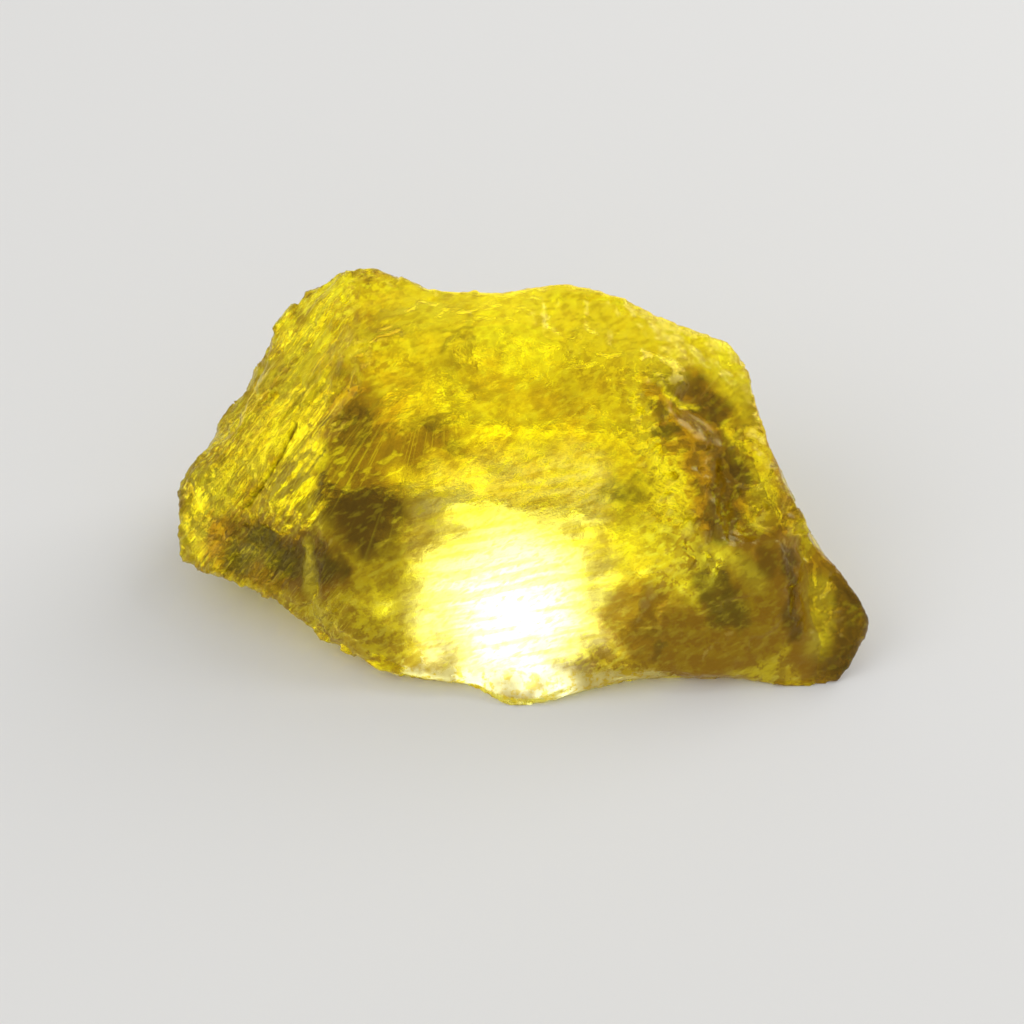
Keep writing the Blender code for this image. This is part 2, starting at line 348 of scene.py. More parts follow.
# Painted light: places made paler to stand in for light glowing through the lump and glinting on its edges,
# brow and crest.
PAINTED_GLOW = [
    spot((-27.0, -0.9, 19.6), 1.7, 0.6, 0.9),
    spot((-25.8, -3.0, 20.6), 2.1, 0.6, 1.0),
    spot((-24.7, -0.5, 21.2), 1.4, 0.6, 0.9),
    spot((-23.2, -4.6, 21.6), 2.6, 0.7, 0.9),
    spot((-24.6, -5.4, 19.7), 2.0, 0.7, 0.8),
    spot((-36.0, -0.6, 12.6), 3.4, 0.8, 0.8),
    *strip([(-23.9, -9.9, 13.0), (-23.6, -11.2, 10.4)], 0.9, 1.0, 0.95),
    *strip([(-23.6, -11.2, 10.4), (-23.2, -13.4, 8.1), (-22.6, -14.7, 7.2)], 1.7, 1.0, 0.8),
    spot((-26.5, -5.5, 16.0), 2.4, 0.8, 0.8),
    spot((-30.0, -2.0, 16.8), 2.6, 0.9, 0.8),
    *strip([(-20.0, 9.9, 33.2), (-23.0, 8.0, 30.0), (-26.5, 6.4, 25.4)], 0.8, 0.8, 0.9),
    *strip([(-21.8, 6.8, 29.9), (-24.8, 5.1, 26.0), (-28.0, 3.2, 22.0)], 0.7, 0.8, 0.8),
    *strip([(-12.0, 1.4, 31.5), (-8.2, 2.1, 31.9), (-4.7, 2.3, 32.4), (1.1, 3.0, 33.3)], 0.6, 0.8, 0.9),
    *strip([(-10.0, 6.4, 33.7), (7.0, 6.4, 33.7), (14.6, 4.4, 31.8)], 8.0, 0.7, 0.8),
    *strip(
        [(15.4, -0.9, 28.6), (16.6, -1.7, 27.6), (18.3, -0.9, 25.3), (19.9, -0.6, 24.7)],
        0.42, 0.7, 1.0,
    ),
    *strip([(20.3, 5.1, 29.0), (24.9, 2.3, 25.6)], 3.2, 0.6, 0.9),
    *strip([(25.6, -0.1, 23.1), (26.6, -2.6, 21.6), (28.0, -8.3, 17.8)], 1.5, 0.7, 0.4),
    *strip([(20.5, -12.9, 15.0), (24.1, -13.9, 14.0), (26.6, -15.3, 11.6)], 1.9, 1.0, 0.75),
    *strip([(33.6, -12.8, 8.8), (34.2, -15.4, 5.7), (33.4, -17.9, 4.0)], 2.4, 1.0, 0.5),
    *strip(
        [
            (12.5, -1.3, 28.8), (13.4, -3.3, 25.4), (14.5, -5.4, 22.8),
            (15.9, -7.2, 20.7), (17.2, -8.8, 18.4), (19.0, -11.3, 16.1),
        ],
        1.4, 0.8, 0.6,
    ),
]
# Clearer, paler body, and a painted glow: the pale colour lies over the lit plate's hot place, up the broad
# face above it and along the front foot.
CLEAR_AND_GLOW = [
    spot((-1.0, -13.0, 9.0), 14.0, 0.7, 1.0),
    *strip([(-9.0, -8.5, 17.5), (-2.0, -7.5, 19.0), (6.0, -7.0, 19.0)], 6.0, 0.9, 0.8),
    spot((6.5, -6.8, 18.5), 6.5, 0.7, 1.0),
    spot((2.0, -21.5, 1.5), 8.0, 0.7, 1.0),
]
FROST = strip(
    [(-12.0, -18.6, 1.6), (-4.0, -21.4, 1.4), (4.0, -22.0, 1.4), (14.0, -19.6, 1.3)],
    2.3, 0.4, 1.0,
)
CREST = strip(
    [(14.5, -1.0, 27.8), (15.2, -6.2, 22.0), (17.0, -9.6, 18.0), (21.0, -13.8, 13.4)],
    3.6, 0.8, 1.0,
)
WINDOW = [spot((-3.0, -9.5, 17.5), 21.0, 0.2, 1.0)]

ZONES = {
    "deep": DEEP_AND_SHADE,
    "brown": BROWN_AND_SHADE,
    "olive": OLIVE_AND_SHADE,
    "crack": CRACKS,
    "bright": PAINTED_GLOW,
    "clear": CLEAR_AND_GLOW,
    "crest": CREST,
    "frost": FROST,
    "window": WINDOW,
}
FINE_ZONES = ("crack", "bright")  # these have the least ragged edges
FINER = 2.3  # how much finer the second noise of a ragged edge is


def ramp(value, start, end):
    """0 at start, 1 at end, smooth between. Takes a number or an array."""
    share = np.clip((value - start) / (end - start), 0.0, 1.0)
    return share * share * (3 - 2 * share)


def mark_mask(points, marks):
    """How strongly these marks cover each point, from 0 to 1."""
    cover = np.zeros(len(points))
    for start, end, width, soft, strength in marks:
        start, run = np.array(start), np.array(end) - np.array(start)
        long = max(run @ run, 1e-9)
        share = np.clip((points - start) @ run / long, 0.0, 1.0)
        off = np.linalg.norm(points - start - share[:, None] * run, axis=1)
        cover = np.maximum(cover, strength * (1 - ramp(off / width, 1 - soft, 1.0)))
    return cover


def wander(point, size):
    """Noise of this size, with half as much of a finer one over it."""
    broad = noise.noise_vector(point / size)
    return broad + 0.5 * noise.noise_vector(point * FINER / size)


def wandered(points, size, amount):
    """The points moved about by noise, so that a mark's edge is ragged."""
    moved = [wander(Vector(point), size) for point in points]
    return points + amount * np.array(moved)


# ---------------------------------------------------------------- the lump's form

SOFT_EDGE, CRISP_EDGE = math.radians(24), math.radians(52)  # not creased, and fully creased
FLAT_EDGE = math.radians(16)  # points whose edges are all flatter than this are smoothed
SHARP_EDGE = math.radians(50)  # edges sharper than this are shaded as edges
SMOOTHINGS = 5
WINDOW_SMOOTHINGS = 40

SPLINTER_LINE = Vector((0.59, 0.325, 0.738)).normalized()
FLOW_LINE = Vector((1.0, 0.12, 0.14)).normalized()
HACKLE_LINE = Vector((0.80, 0.35, 0.49)).normalized()

NOISE_SEED = 1

# Spans of the relief's noise and sizes of its chips, in millimetres
SPLINTER_SPAN = 1.4
FINE_SPLINTER_SPAN = 0.6
FLANK_CHIP = 1.9
CREST_CHIP = 1.3
CREST_SPAN = 1.7
CRUST_SPAN = 1.9
FINE_CRUST_SPAN = 0.85
BROAD_CHIP = 4.2
SMALL_CHIP = 1.7
PIT_SPAN = 1.6
FLOW_SPAN = 0.9

# Heights, as shares of the sizes above
FINE_SPLINTERS = 0.45
FLANK_CHIPS = 2.3
CREST_CHIPS = 1.5
CREST_LUMPS = 0.3
FINE_CRUST = 0.6

RIDGE_LEVEL = 0.7  # ridged noise that leaves the skin where it is
CHIP_SHUFFLE = 5.7  # spreads the cells' middles out, so that their tilts differ
SMOOTH_FACE = 0.8  # how much of the crust the broad face goes without
FLANK_START, FLANK_FULL = 16.0, 21.0  # how far left of the middle, in millimetres
PIT_NOISE = (0.32, 0.6)  # the noise at which a pit starts, and at which it is full
FACING = (0.45, 0.65)  # how far a face turns to the front to be part of the broad face
FOOT = LOW.z + 0.12 * MM  # the skin below this is laid on the base

# Slow noise: its size in millimetres, the line it is drawn out along and by how much, and the
# shares of the skin, in percent, below which it is 0 and above which it is 1.
DRIFTS = {
    "cloud": (5.5, FLOW_LINE, 0.0, 14, 94),
    "patch": (2.2, FLOW_LINE, 0.0, 58, 86),
    "band": (2.0, SPLINTER_LINE, 0.9, 50, 6),
}


def evaluated(piece):
    """The piece's mesh as its modifiers leave it. They are then taken off."""
    bm = bmesh.new()
    bm.from_object(piece, bpy.context.evaluated_depsgraph_get())
    piece.modifiers.clear()
    return bm


def crease_edges(bm):
    """Creases each edge by how sharply its faces meet."""
    layer = bm.edges.layers.float.new("crease_edge")
    for edge in bm.edges:
        angle = edge.calc_face_angle(0.0)
        edge[layer] = max(0.0, min(1.0, (angle - SOFT_EDGE) / (CRISP_EDGE - SOFT_EDGE)))


def smooth(bm, verts, rounds):
    for _ in range(rounds):
        bmesh.ops.smooth_vert(bm, verts=verts, factor=0.5, use_axis_x=True, use_axis_y=True, use_axis_z=True)


def on_flat(vert):
    return max(edge.calc_face_angle(0.0) for edge in vert.link_edges) < FLAT_EDGE


def rounded_copy(step):
    """The solid's form with its triangles rounded off and its crisp edges kept, as an even skin."""
    bm = bmesh.new()
    bm.from_mesh(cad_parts[NODE].data)
    bmesh.ops.remove_doubles(bm, verts=bm.verts, dist=MERGE)
    crease_edges(bm)
    mesh = bpy.data.meshes.new("amber")
    bm.to_mesh(mesh)
    bm.free()
    piece = bpy.data.objects.new("amber", mesh)
    bpy.context.scene.collection.objects.link(piece)
    rounding = piece.modifiers.new("rounding", "SUBSURF")
    rounding.levels = 1
    rounding.render_levels = 1
    skin = piece.modifiers.new("skin", "REMESH")
    skin.mode = "VOXEL"
    skin.voxel_size = step
    bm = evaluated(piece)
    for _ in range(SMOOTHINGS):
        smooth(bm, [vert for vert in bm.verts if on_flat(vert)], 1)
    points = np.array([vert.co / MM for vert in bm.verts])
    broad = mark_mask(points, WINDOW)
    window = [vert for vert, share in zip(bm.verts, broad) if share > 0.5 and vert.normal.y < -0.4]
    smooth(bm, window, WINDOW_SMOOTHINGS)
    return piece, bm


def ridged(point):
    return 1 - 2 * abs(noise.noise(point))


def chips(point, size):
    """A height that is flat and tilted within each of many cells, as on broken glass."""
    place = point / size
    middle = noise.voronoi(place)[1][0]
    return size * noise.noise_vector(middle * CHIP_SHUFFLE).dot(place - middle)


def drawn(point, line, share):
    """The point squeezed along a line, so that noise read there is drawn out along it."""
    return point - line * (point.dot(line) * share)


def splinters(point, sizes, flank):
    """Ridges up the flank, broken up by long flat chips."""
    lines = drawn(point, SPLINTER_LINE, 0.96)
    fine = lines / FINE_SPLINTER_SPAN + Vector((7, 0, 0))
    rise = sizes.splinter / MM * flank * (ridged(lines / SPLINTER_SPAN) - RIDGE_LEVEL)
    rise += sizes.splinter / MM * FINE_SPLINTERS * flank * (ridged(fine) - RIDGE_LEVEL)
    rise += sizes.chips / MM * FLANK_CHIPS * flank * chips(drawn(point, SPLINTER_LINE, 0.8), FLANK_CHIP)
    return rise


def teeth(point):
    """The crest's broken teeth."""
    flat = chips(drawn(point, HACKLE_LINE, 0.5), CREST_CHIP)
    return CREST_CHIPS * flat + CREST_LUMPS * noise.noise(point / CREST_SPAN)


def relief(point, window, crest, crack, sizes):
    """How far the skin rises, in millimetres, at a point given in millimetres."""
    flank = ramp(-point.x, FLANK_START, FLANK_FULL) * (1 - window)
    rise = 0.0
    if flank > 0:
        rise += splinters(point, sizes, flank)
    if crest > 0:
        rise += sizes.hackle / MM * crest * teeth(point)
    rough = 1 - SMOOTH_FACE * window
    lumps = noise.noise(point / CRUST_SPAN) + FINE_CRUST * noise.noise(point / FINE_CRUST_SPAN)
    rise += sizes.crust / MM * rough * lumps
    rise += sizes.chips / MM * rough * (chips(point, BROAD_CHIP) + chips(point, SMALL_CHIP))
    pit = noise.noise(point / PIT_SPAN + Vector((0, 40, 0)))
    rise -= sizes.pits / MM * rough * ramp(pit, *PIT_NOISE)
    rise += sizes.ripple / MM * window * noise.noise(drawn(point, FLOW_LINE, 0.9) / FLOW_SPAN)
    rise -= sizes.crack / MM * crack
    return rise


def raise_relief(bm, sizes):
    """Moves the skin along its normals. Returns where each point was, in millimetres."""
    bm.normal_update()
    points = np.array([vert.co / MM for vert in bm.verts])
    masks = [mark_mask(points, marks) for marks in (WINDOW, CREST, CRACKS)]
    moved = []
    for vert, point, window, crest, crack in zip(bm.verts, points, *masks):
        facing = ramp(-vert.normal.y, *FACING)
        rise = relief(Vector(point), window * facing, crest, crack, sizes) * MM
        moved.append(vert.co + vert.normal * rise)
    for vert, place in zip(bm.verts, moved):
        if vert.co.z > FOOT:
            vert.co = place
            vert.co.z = max(vert.co.z, LOW.z)
        else:
            vert.co.z = LOW.z
    return points


def paint(mesh, name, values):
    """Writes one value on each of the mesh's points, for the material to read."""
    layer = mesh.attributes.new(name, "FLOAT", "POINT")
    layer.data.foreach_set("value", values.astype(np.float32))


def paint_zones(mesh, points):
    """Writes how strongly each zone covers each point."""
    ragged = wandered(wandered(points, 2.8, 1.1), 0.9, 0.5)
    fine = wandered(points, 1.2, 0.15)
    for name, marks in ZONES.items():
        paint(mesh, name, mark_mask(fine if name in FINE_ZONES else ragged, marks))


def paint_drifts(mesh, points):
    """Writes the slow noise, which is quicker than having a material work it out."""
    for name, (size, line, share, low, high) in DRIFTS.items():
        places = [drawn(Vector(point), line, share) / size for point in points]
        drift = np.array([noise.fractal(place, 1.0, 2.0, 3) for place in places])
        start, end = np.percentile(drift, (low, high))
        paint(mesh, name, ramp(drift, start, end))


# ---------------------------------------------------------------- materials

# How much of each mark's colour goes over the body
BANDS = 0.8
DARK_LINES = 0.5
PATCHES = 0.8
DARK_CHIPS = 0.8
DARK_FLECKS = 0.5
# PALE_FLECKS is how much of the painted glints goes over the body
PALE_FLECKS = 0.8
SCRATCHES = 0.13
FROSTED = 0.85

# The noise at which a mark starts, and at which it is full
PALE_LINE_NOISE = (0.54, 0.66)
DARK_LINE_NOISE = (0.46, 0.36)
MOTTLE_NOISE = (0.48, 0.58)
DARK_FLECK_NOISE = (0.48, 0.34)
PALE_FLECK_NOISE = (0.52, 0.70)
SCRATCH_NOISE = (0.53, 0.72)
DARK_CHIP_NOISE = (0.45, 0.15)
PALE_CHIP_NOISE = (0.55, 0.85)
GRIT_NOISE = (0.46, 0.58)
BREAK_NOISE = (0.40, 0.56)
FLOW_NOISE = (0.44, 0.62)
UNEVEN_NOISE = (0.36, 0.60)
GLOSS_NOISE = (0.35, 0.70)
CLOUD_NOISE = (0.34, 0.66)

# The scratches' middle on the brow, in millimetres, how many there are to a turn, how often
# they break off per millimetre, and how far along the lump they fade
FAN_MIDDLE = (-8.2, 4.5, 34.0)
FAN_LINES = 58.0
FAN_BREAKS = 0.04
FAN_FADE = (2.0, -5.0)

GLINT_LINE = Vector((0.87, 0.33, 0.37)).normalized()

# Each set of streaks: its line, how far it is drawn out along that, and its scale
STREAKS = {
    "broad": (SPLINTER_LINE, 0.965, 1.3),
    "fine": (SPLINTER_LINE, 0.97, 4.0),
    "fleck": (GLINT_LINE, 0.6, 1.6),
    "flow": (FLOW_LINE, 0.9, 1.1),
}

FLANK_FADE = (-16.0, -22.0)  # from where along the lump the flank's lines start, in millimetres
CRYSTAL_SCALE = 1.1
IN_DARK = 0.9  # how much of the fine painted highlights the dark zones take away
ON_SMOOTH = 0.5  # how much of the mottle the broad face and the flank take away
GLOSS = (0.08, 0.24)  # the smoothest and the roughest broken face
FROST_ROUGHNESS = 0.2
LINE_HEIGHT = 1.6
BUMP_STRENGTH = 0.4
BUMP_HEIGHT = 0.15 * MM
SEE_THROUGH = 0.85
AMBER_IOR = 1.54

SHINE = 0.15
SHINE_TINT = (1.0, 0.90, 0.30, 1.0)

FLOOR_ROUGHNESS = 0.7
GATHERED_COLOUR = (1.0, 0.99, 0.96, 1.0)
POOL_EDGE = 0.42  # what is left of the gathered light away from its pool
HOT_SHAPE = (1.0, 0.75, 1.0)  # less than 1 draws the hot place out along that axis
HOT_FALL = 1.7  # how fast the hot place fades
HOT_CLOUD = 150.0
RAGGED = (0.72, 1.34)  # how the cloudy noise moves the hot place's edge out and in
SIDE_WHITE = 0.9

COLUMN, ROW, COLUMNS = 200, 260, 14  # how nodes are laid out in the editor
BLACK = (0.0, 0.0, 0.0, 1.0)
WHITE = (1.0, 1.0, 1.0, 1.0)


def link(tree, source, target):
    tree.links.new(source, target)


def add(tree, kind, **values):
    """A new node, laid out in rows in the order of making."""
    count = len(tree.nodes)
    node = tree.nodes.new(kind)
    node.location = (COLUMN * (count % COLUMNS), -ROW * (count // COLUMNS + 2))
    for name, value in values.items():
        setattr(node, name, value)
    return node


def feed(tree, value, socket):
    """Links a socket's value, or sets a plain one."""
    if isinstance(value, bpy.types.NodeSocket):
        link(tree, value, socket)
    else:
        socket.default_value = value


def maths(tree, kind, first, second=0.0):
    node = add(tree, "ShaderNodeMath", operation=kind)
    feed(tree, first, node.inputs[0])
    feed(tree, second, node.inputs[1])
    return node.outputs[0]


def times(tree, first, second):
    return maths(tree, "MULTIPLY", first, second)


def most(tree, first, second):
    return maths(tree, "MAXIMUM", first, second)


def opposite(tree, value):
    return maths(tree, "SUBTRACT", 1.0, value)


def vector_maths(tree, kind, first, second=(0, 0, 0)):
    node = add(tree, "ShaderNodeVectorMath", operation=kind)
    feed(tree, first, node.inputs[0])
    feed(tree, second, node.inputs["Scale"] if kind == "SCALE" else node.inputs[1])
    return node.outputs["Value"] if kind in ("DISTANCE", "DOT_PRODUCT", "LENGTH") else node.outputs[0]


def spread(tree, value, low, high, to=(0.0, 1.0), smooth=True):
    """The value's span from low to high, drawn out to another span."""
    node = add(tree, "ShaderNodeMapRange", interpolation_type="SMOOTHSTEP" if smooth else "LINEAR")
    feed(tree, value, node.inputs["Value"])
    feed(tree, low, node.inputs["From Min"])
    feed(tree, high, node.inputs["From Max"])
    node.inputs["To Min"].default_value = to[0]
    node.inputs["To Max"].default_value = to[1]
    return node.outputs["Result"]


def mix(tree, factor, low, high):
    """A colour between low and high."""
    node = add(tree, "ShaderNodeMix", data_type="RGBA")
    feed(tree, factor, node.inputs[0])
    feed(tree, low, node.inputs[6])
    feed(tree, high, node.inputs[7])
    return node.outputs[2]


def grain(tree, vector, scale, detail, rough=0.5):
    node = add(tree, "ShaderNodeTexNoise")
    link(tree, vector, node.inputs["Vector"])
    feed(tree, scale, node.inputs["Scale"])
    node.inputs["Detail"].default_value = detail
    node.inputs["Roughness"].default_value = rough
    return node.outputs["Fac"]


def zone(tree, name):
    """What the skin's points hold under this name."""
    return add(tree, "ShaderNodeAttribute", attribute_name=name).outputs["Fac"]


def new_group(name, inputs, outputs):
    """A shader node group with these named sockets."""
    tree = bpy.data.node_groups.new(name, "ShaderNodeTree")
    for title, kind, default in inputs:
        made = tree.interface.new_socket(title, in_out="INPUT", socket_type=kind)
        if default is not None:
            made.default_value = default
    for title, kind in outputs:
        tree.interface.new_socket(title, in_out="OUTPUT", socket_type=kind)
    return tree, add(tree, "NodeGroupInput"), add(tree, "NodeGroupOutput")


def streak_group():
    """Noise drawn out along a line."""
    tree, start, end = new_group(
        "Streaks",
        [
            ("Vector", "NodeSocketVector", None),
            ("Along", "NodeSocketVector", (0.0, 0.0, 1.0)),
            ("Stretch", "NodeSocketFloat", 0.93),
            ("Scale", "NodeSocketFloat", 1.0),
        ],
        [("Value", "NodeSocketFloat")],
    )
    vector, along = start.outputs["Vector"], start.outputs["Along"]
    length = vector_maths(tree, "DOT_PRODUCT", vector, along)
    part = times(tree, length, start.outputs["Stretch"])
    lines = vector_maths(tree, "SUBTRACT", vector, vector_maths(tree, "SCALE", along, part))
    link(tree, grain(tree, lines, start.outputs["Scale"], 2.0), end.inputs["Value"])
    return tree


def streaks(tree, group, vector, along, stretch, scale):
    node = add(tree, "ShaderNodeGroup", node_tree=group)
    link(tree, vector, node.inputs["Vector"])
    node.inputs["Along"].default_value = along
    node.inputs["Stretch"].default_value = stretch
    node.inputs["Scale"].default_value = scale
    return node.outputs["Value"]


def fan_of_scratches(tree, place):
    """Thin straight lines that fan out down the broad face from a place on its brow."""
    off = vector_maths(tree, "SUBTRACT", place, FAN_MIDDLE)
    parts = add(tree, "ShaderNodeSeparateXYZ")
    link(tree, off, parts.inputs[0])
    forward = maths(tree, "POWER", maths(tree, "ABSOLUTE", parts.outputs["Y"]), 2.0)
    drop = maths(tree, "POWER", maths(tree, "ABSOLUTE", parts.outputs["Z"]), 2.0)
    down = maths(tree, "SQRT", maths(tree, "ADD", forward, drop))
    turn = maths(tree, "ARCTAN2", parts.outputs["X"], down)
    fanned = add(tree, "ShaderNodeCombineXYZ")
    link(tree, times(tree, turn, FAN_LINES), fanned.inputs["X"])
    link(tree, times(tree, vector_maths(tree, "LENGTH", off), FAN_BREAKS), fanned.inputs["Y"])
    return spread(tree, grain(tree, fanned.outputs[0], 1.0, 2.0), *SCRATCH_NOISE)


def crest_crystals(tree, place, marks):
    """Marks the crest's broken crystals, each of them dark, pale with a painted sparkle, or plain."""
    crystals = add(tree, "ShaderNodeTexVoronoi")
    link(tree, place, crystals.inputs["Vector"])
    crystals.inputs["Scale"].default_value = CRYSTAL_SCALE
    split = add(tree, "ShaderNodeSeparateColor")
    link(tree, crystals.outputs["Color"], split.inputs[0])
    marks["dark_chips"] = times(tree, spread(tree, split.outputs[0], *DARK_CHIP_NOISE), marks["crest"])
    # The pale crystals are painted sparkle, standing in for light glinting off the crest.
    marks["pale_chips"] = times(tree, spread(tree, split.outputs[0], *PALE_CHIP_NOISE), marks["crest"])


def amber_marks(tree, place):
    """The skin's zones, noises and fine marks by name, most of them from 0 to 1."""
    marks = {name: zone(tree, name) for name in (*ZONES, *DRIFTS)}
    parts = add(tree, "ShaderNodeSeparateXYZ")
    link(tree, place, parts.inputs[0])
    along = parts.outputs["X"]
    flank = times(tree, spread(tree, along, *FLANK_FADE), opposite(tree, marks["window"]))
    dark = most(tree, marks["deep"], marks["olive"])
    marks["off_dark"] = opposite(tree, times(tree, dark, IN_DARK))
    marks["rough_side"] = opposite(tree, times(tree, most(tree, marks["window"], flank), ON_SMOOTH))

    group = streak_group()
    for name, values in STREAKS.items():
        marks[name] = streaks(tree, group, place, *values)
    marks["mottle"] = grain(tree, place, 0.8, 3.0, 0.7)
    marks["grit"] = grain(tree, place, 1.6, 3.0, 0.65)

    marks["flank_lines"] = times(tree, marks["fine"], flank)
    # Painted sheen: pale where the flank's fine lines stand highest, as light would catch them.
    marks["pale_lines"] = times(tree, spread(tree, marks["fine"], *PALE_LINE_NOISE), flank)
    marks["dark_lines"] = times(tree, spread(tree, marks["broad"], *DARK_LINE_NOISE), flank)
    marks["bands"] = times(tree, marks["band"], flank)
    scratches = times(tree, fan_of_scratches(tree, place), marks["window"])
    marks["scratches"] = times(tree, scratches, spread(tree, along, *FAN_FADE))
    crest_crystals(tree, place, marks)
    return marks


def painted_highlights_and_scratches(tree, marks):
    """How strongly the painted highlights show: the painted glow zone, the pale lines, flecks and crystals
    that stand in for sheen and glints, and the pale scratches, which are real marks.
    """
    # The pale flecks are painted glints.
    painted_glints = times(tree, spread(tree, marks["fleck"], *PALE_FLECK_NOISE), PALE_FLECKS)
    fine_highlights = most(tree, marks["pale_lines"], most(tree, painted_glints, marks["pale_chips"]))
    fine_highlights = times(tree, fine_highlights, marks["off_dark"])
    broken = spread(tree, marks["fleck"], *BREAK_NOISE, (0.5, 1.0))
    lit = most(tree, times(tree, marks["bright"], broken), fine_highlights)
    return most(tree, lit, times(tree, marks["scratches"], SCRATCHES))


def amber_colour(tree, colours, marks):
    """The body's colour, laid over one another from the broad clouds to the fine marks; painted shade and
    painted highlights are among the layers.
    """
    mottled = times(tree, spread(tree, marks["mottle"], *MOTTLE_NOISE), marks["rough_side"])
    patches = times(tree, marks["patch"], marks["rough_side"])
    clear = times(tree, marks["clear"], spread(tree, marks["flow"], *FLOW_NOISE, (1.0, 0.35)))
    dark_flecks = times(tree, spread(tree, marks["fleck"], *DARK_FLECK_NOISE), DARK_FLECKS)
    uneven = spread(tree, marks["mottle"], *UNEVEN_NOISE, (1.0, 0.92))
    gritty = mix(tree, spread(tree, marks["mottle"], *GRIT_NOISE), colours.frost[:], colours.honey[:])
    layers = (
        (mottled, colours.amber[:]),
        (times(tree, marks["bands"], BANDS), colours.deep[:]),
        (times(tree, marks["dark_lines"], DARK_LINES), colours.brown[:]),
        (times(tree, patches, PATCHES), colours.amber[:]),
        (times(tree, marks["dark_chips"], DARK_CHIPS), colours.amber[:]),
        # The clear zone: clearer body, and a painted glow over the hot place.
        (clear, colours.lemon[:]),
        (dark_flecks, colours.amber[:]),
        # Painted shade, over the body's own deeper tone, in the dark patches.
        (marks["deep"], colours.deep[:]),
        (times(tree, marks["brown"], uneven), colours.brown[:]),
        (times(tree, marks["olive"], uneven), colours.olive[:]),
        # Painted highlights, together with the real pale scratches.
        (painted_highlights_and_scratches(tree, marks), colours.painted_highlight[:]),
        (times(tree, marks["frost"], FROSTED), gritty),
        (marks["crack"], colours.brown[:]),
    )
    body = mix(tree, marks["cloud"], colours.gold[:], colours.honey[:])
    for share, colour in layers:
        body = mix(tree, share, body, colour)
    return body


def amber_material(colours):
    """See-through amber, tinted at its skin and by its depth."""
    made = bpy.data.materials.new("amber")
    made.use_nodes = True
    tree = made.node_tree
    surface = tree.nodes["Principled BSDF"]
    metres = add(tree, "ShaderNodeTexCoord").outputs["Object"]
    place = vector_maths(tree, "SCALE", metres, 1 / MM)
    marks = amber_marks(tree, place)
    link(tree, amber_colour(tree, colours, marks), surface.inputs["Base Color"])

    gloss = spread(tree, marks["grit"], *GLOSS_NOISE, GLOSS, False)
    rough = maths(tree, "ADD", gloss, times(tree, marks["frost"], FROST_ROUGHNESS))
    link(tree, rough, surface.inputs["Roughness"])

    height = maths(tree, "ADD", marks["grit"], times(tree, marks["flank_lines"], LINE_HEIGHT))
    bump = add(tree, "ShaderNodeBump")
    bump.inputs["Strength"].default_value = BUMP_STRENGTH
    bump.inputs["Distance"].default_value = BUMP_HEIGHT
    link(tree, height, bump.inputs["Height"])
    link(tree, bump.outputs["Normal"], surface.inputs["Normal"])

    surface.inputs["Transmission Weight"].default_value = SEE_THROUGH
    surface.inputs["IOR"].default_value = AMBER_IOR
    surface.inputs["Specular IOR Level"].default_value = SHINE
    surface.inputs["Specular Tint"].default_value = SHINE_TINT
    inside = add(tree, "ShaderNodeVolumeAbsorption")
    inside.inputs["Color"].default_value = colours.taken[:]
    inside.inputs["Density"].default_value = colours.density
    link(tree, inside.outputs["Volume"], tree.nodes["Material Output"].inputs["Volume"])
    return made


def floor_material(stage):
    """The floor. Seen through the lump it is brighter, because a clear lump gathers light on it."""
    made = bpy.data.materials.new("floor")
    made.use_nodes = True
    tree = made.node_tree
    surface = tree.nodes["Principled BSDF"]
    surface.inputs["Base Color"].default_value = stage.floor[:]
    surface.inputs["Roughness"].default_value = FLOOR_ROUGHNESS
    through = add(tree, "ShaderNodeLightPath").outputs["Is Transmission Ray"]
    place = add(tree, "ShaderNodeTexCoord").outputs["Object"]
    far = vector_maths(tree, "DISTANCE", place, stage.pool_place[:])
    pool = spread(tree, far, 0.0, stage.pool_size, (1.0, POOL_EDGE))
    shine = mix(tree, times(tree, through, pool), BLACK, GATHERED_COLOUR)
    link(tree, shine, surface.inputs["Emission Color"])
    surface.inputs["Emission Strength"].default_value = stage.gathered
    return made


def glow_material(stage):
    """The plate's light: bright round one place, fainter round a second and away from both."""
    made = bpy.data.materials.new("glow")
    made.use_nodes = True
    tree = made.node_tree
    tree.nodes.remove(tree.nodes["Principled BSDF"])
    shine = add(tree, "ShaderNodeEmission")
    place = add(tree, "ShaderNodeTexCoord").outputs["Object"]
    off = vector_maths(tree, "SUBTRACT", place, stage.hot_place[:])
    far = vector_maths(tree, "LENGTH", vector_maths(tree, "MULTIPLY", off, HOT_SHAPE))
    cloud = grain(tree, place, HOT_CLOUD, 4.0, 0.6)
    far = times(tree, far, spread(tree, cloud, *CLOUD_NOISE, RAGGED, False))
    near = spread(tree, far, 0.0, stage.hot_size, (1.0, 0.0))
    side_far = vector_maths(tree, "DISTANCE", place, stage.side_place[:])
    side = spread(tree, side_far, 0.0, stage.side_size, (stage.side_glow, 0.0))
    peak = times(tree, maths(tree, "POWER", near, HOT_FALL), stage.hot_glow)
    uneven = maths(tree, "ADD", peak, side)
    side_white = spread(tree, side_far, 0.0, stage.side_size, (SIDE_WHITE, 0.0))
    whiter = most(tree, spread(tree, near, 0.0, 0.5), side_white)
    link(tree, mix(tree, whiter, stage.table_colour[:], WHITE), shine.inputs["Color"])
    turns = add(tree, "ShaderNodeLightPath").outputs["Ray Depth"]
    limit = spread(tree, turns, 1.4, 1.6, (stage.hot_glow, stage.echo_glow), False)
    held = maths(tree, "MINIMUM", uneven, limit)
    link(tree, maths(tree, "ADD", held, stage.table_glow), shine.inputs["Strength"])
    link(tree, shine.outputs[0], tree.nodes["Material Output"].inputs["Surface"])
    return made


# ---------------------------------------------------------------- operators

FEWEST_FACES = 1000


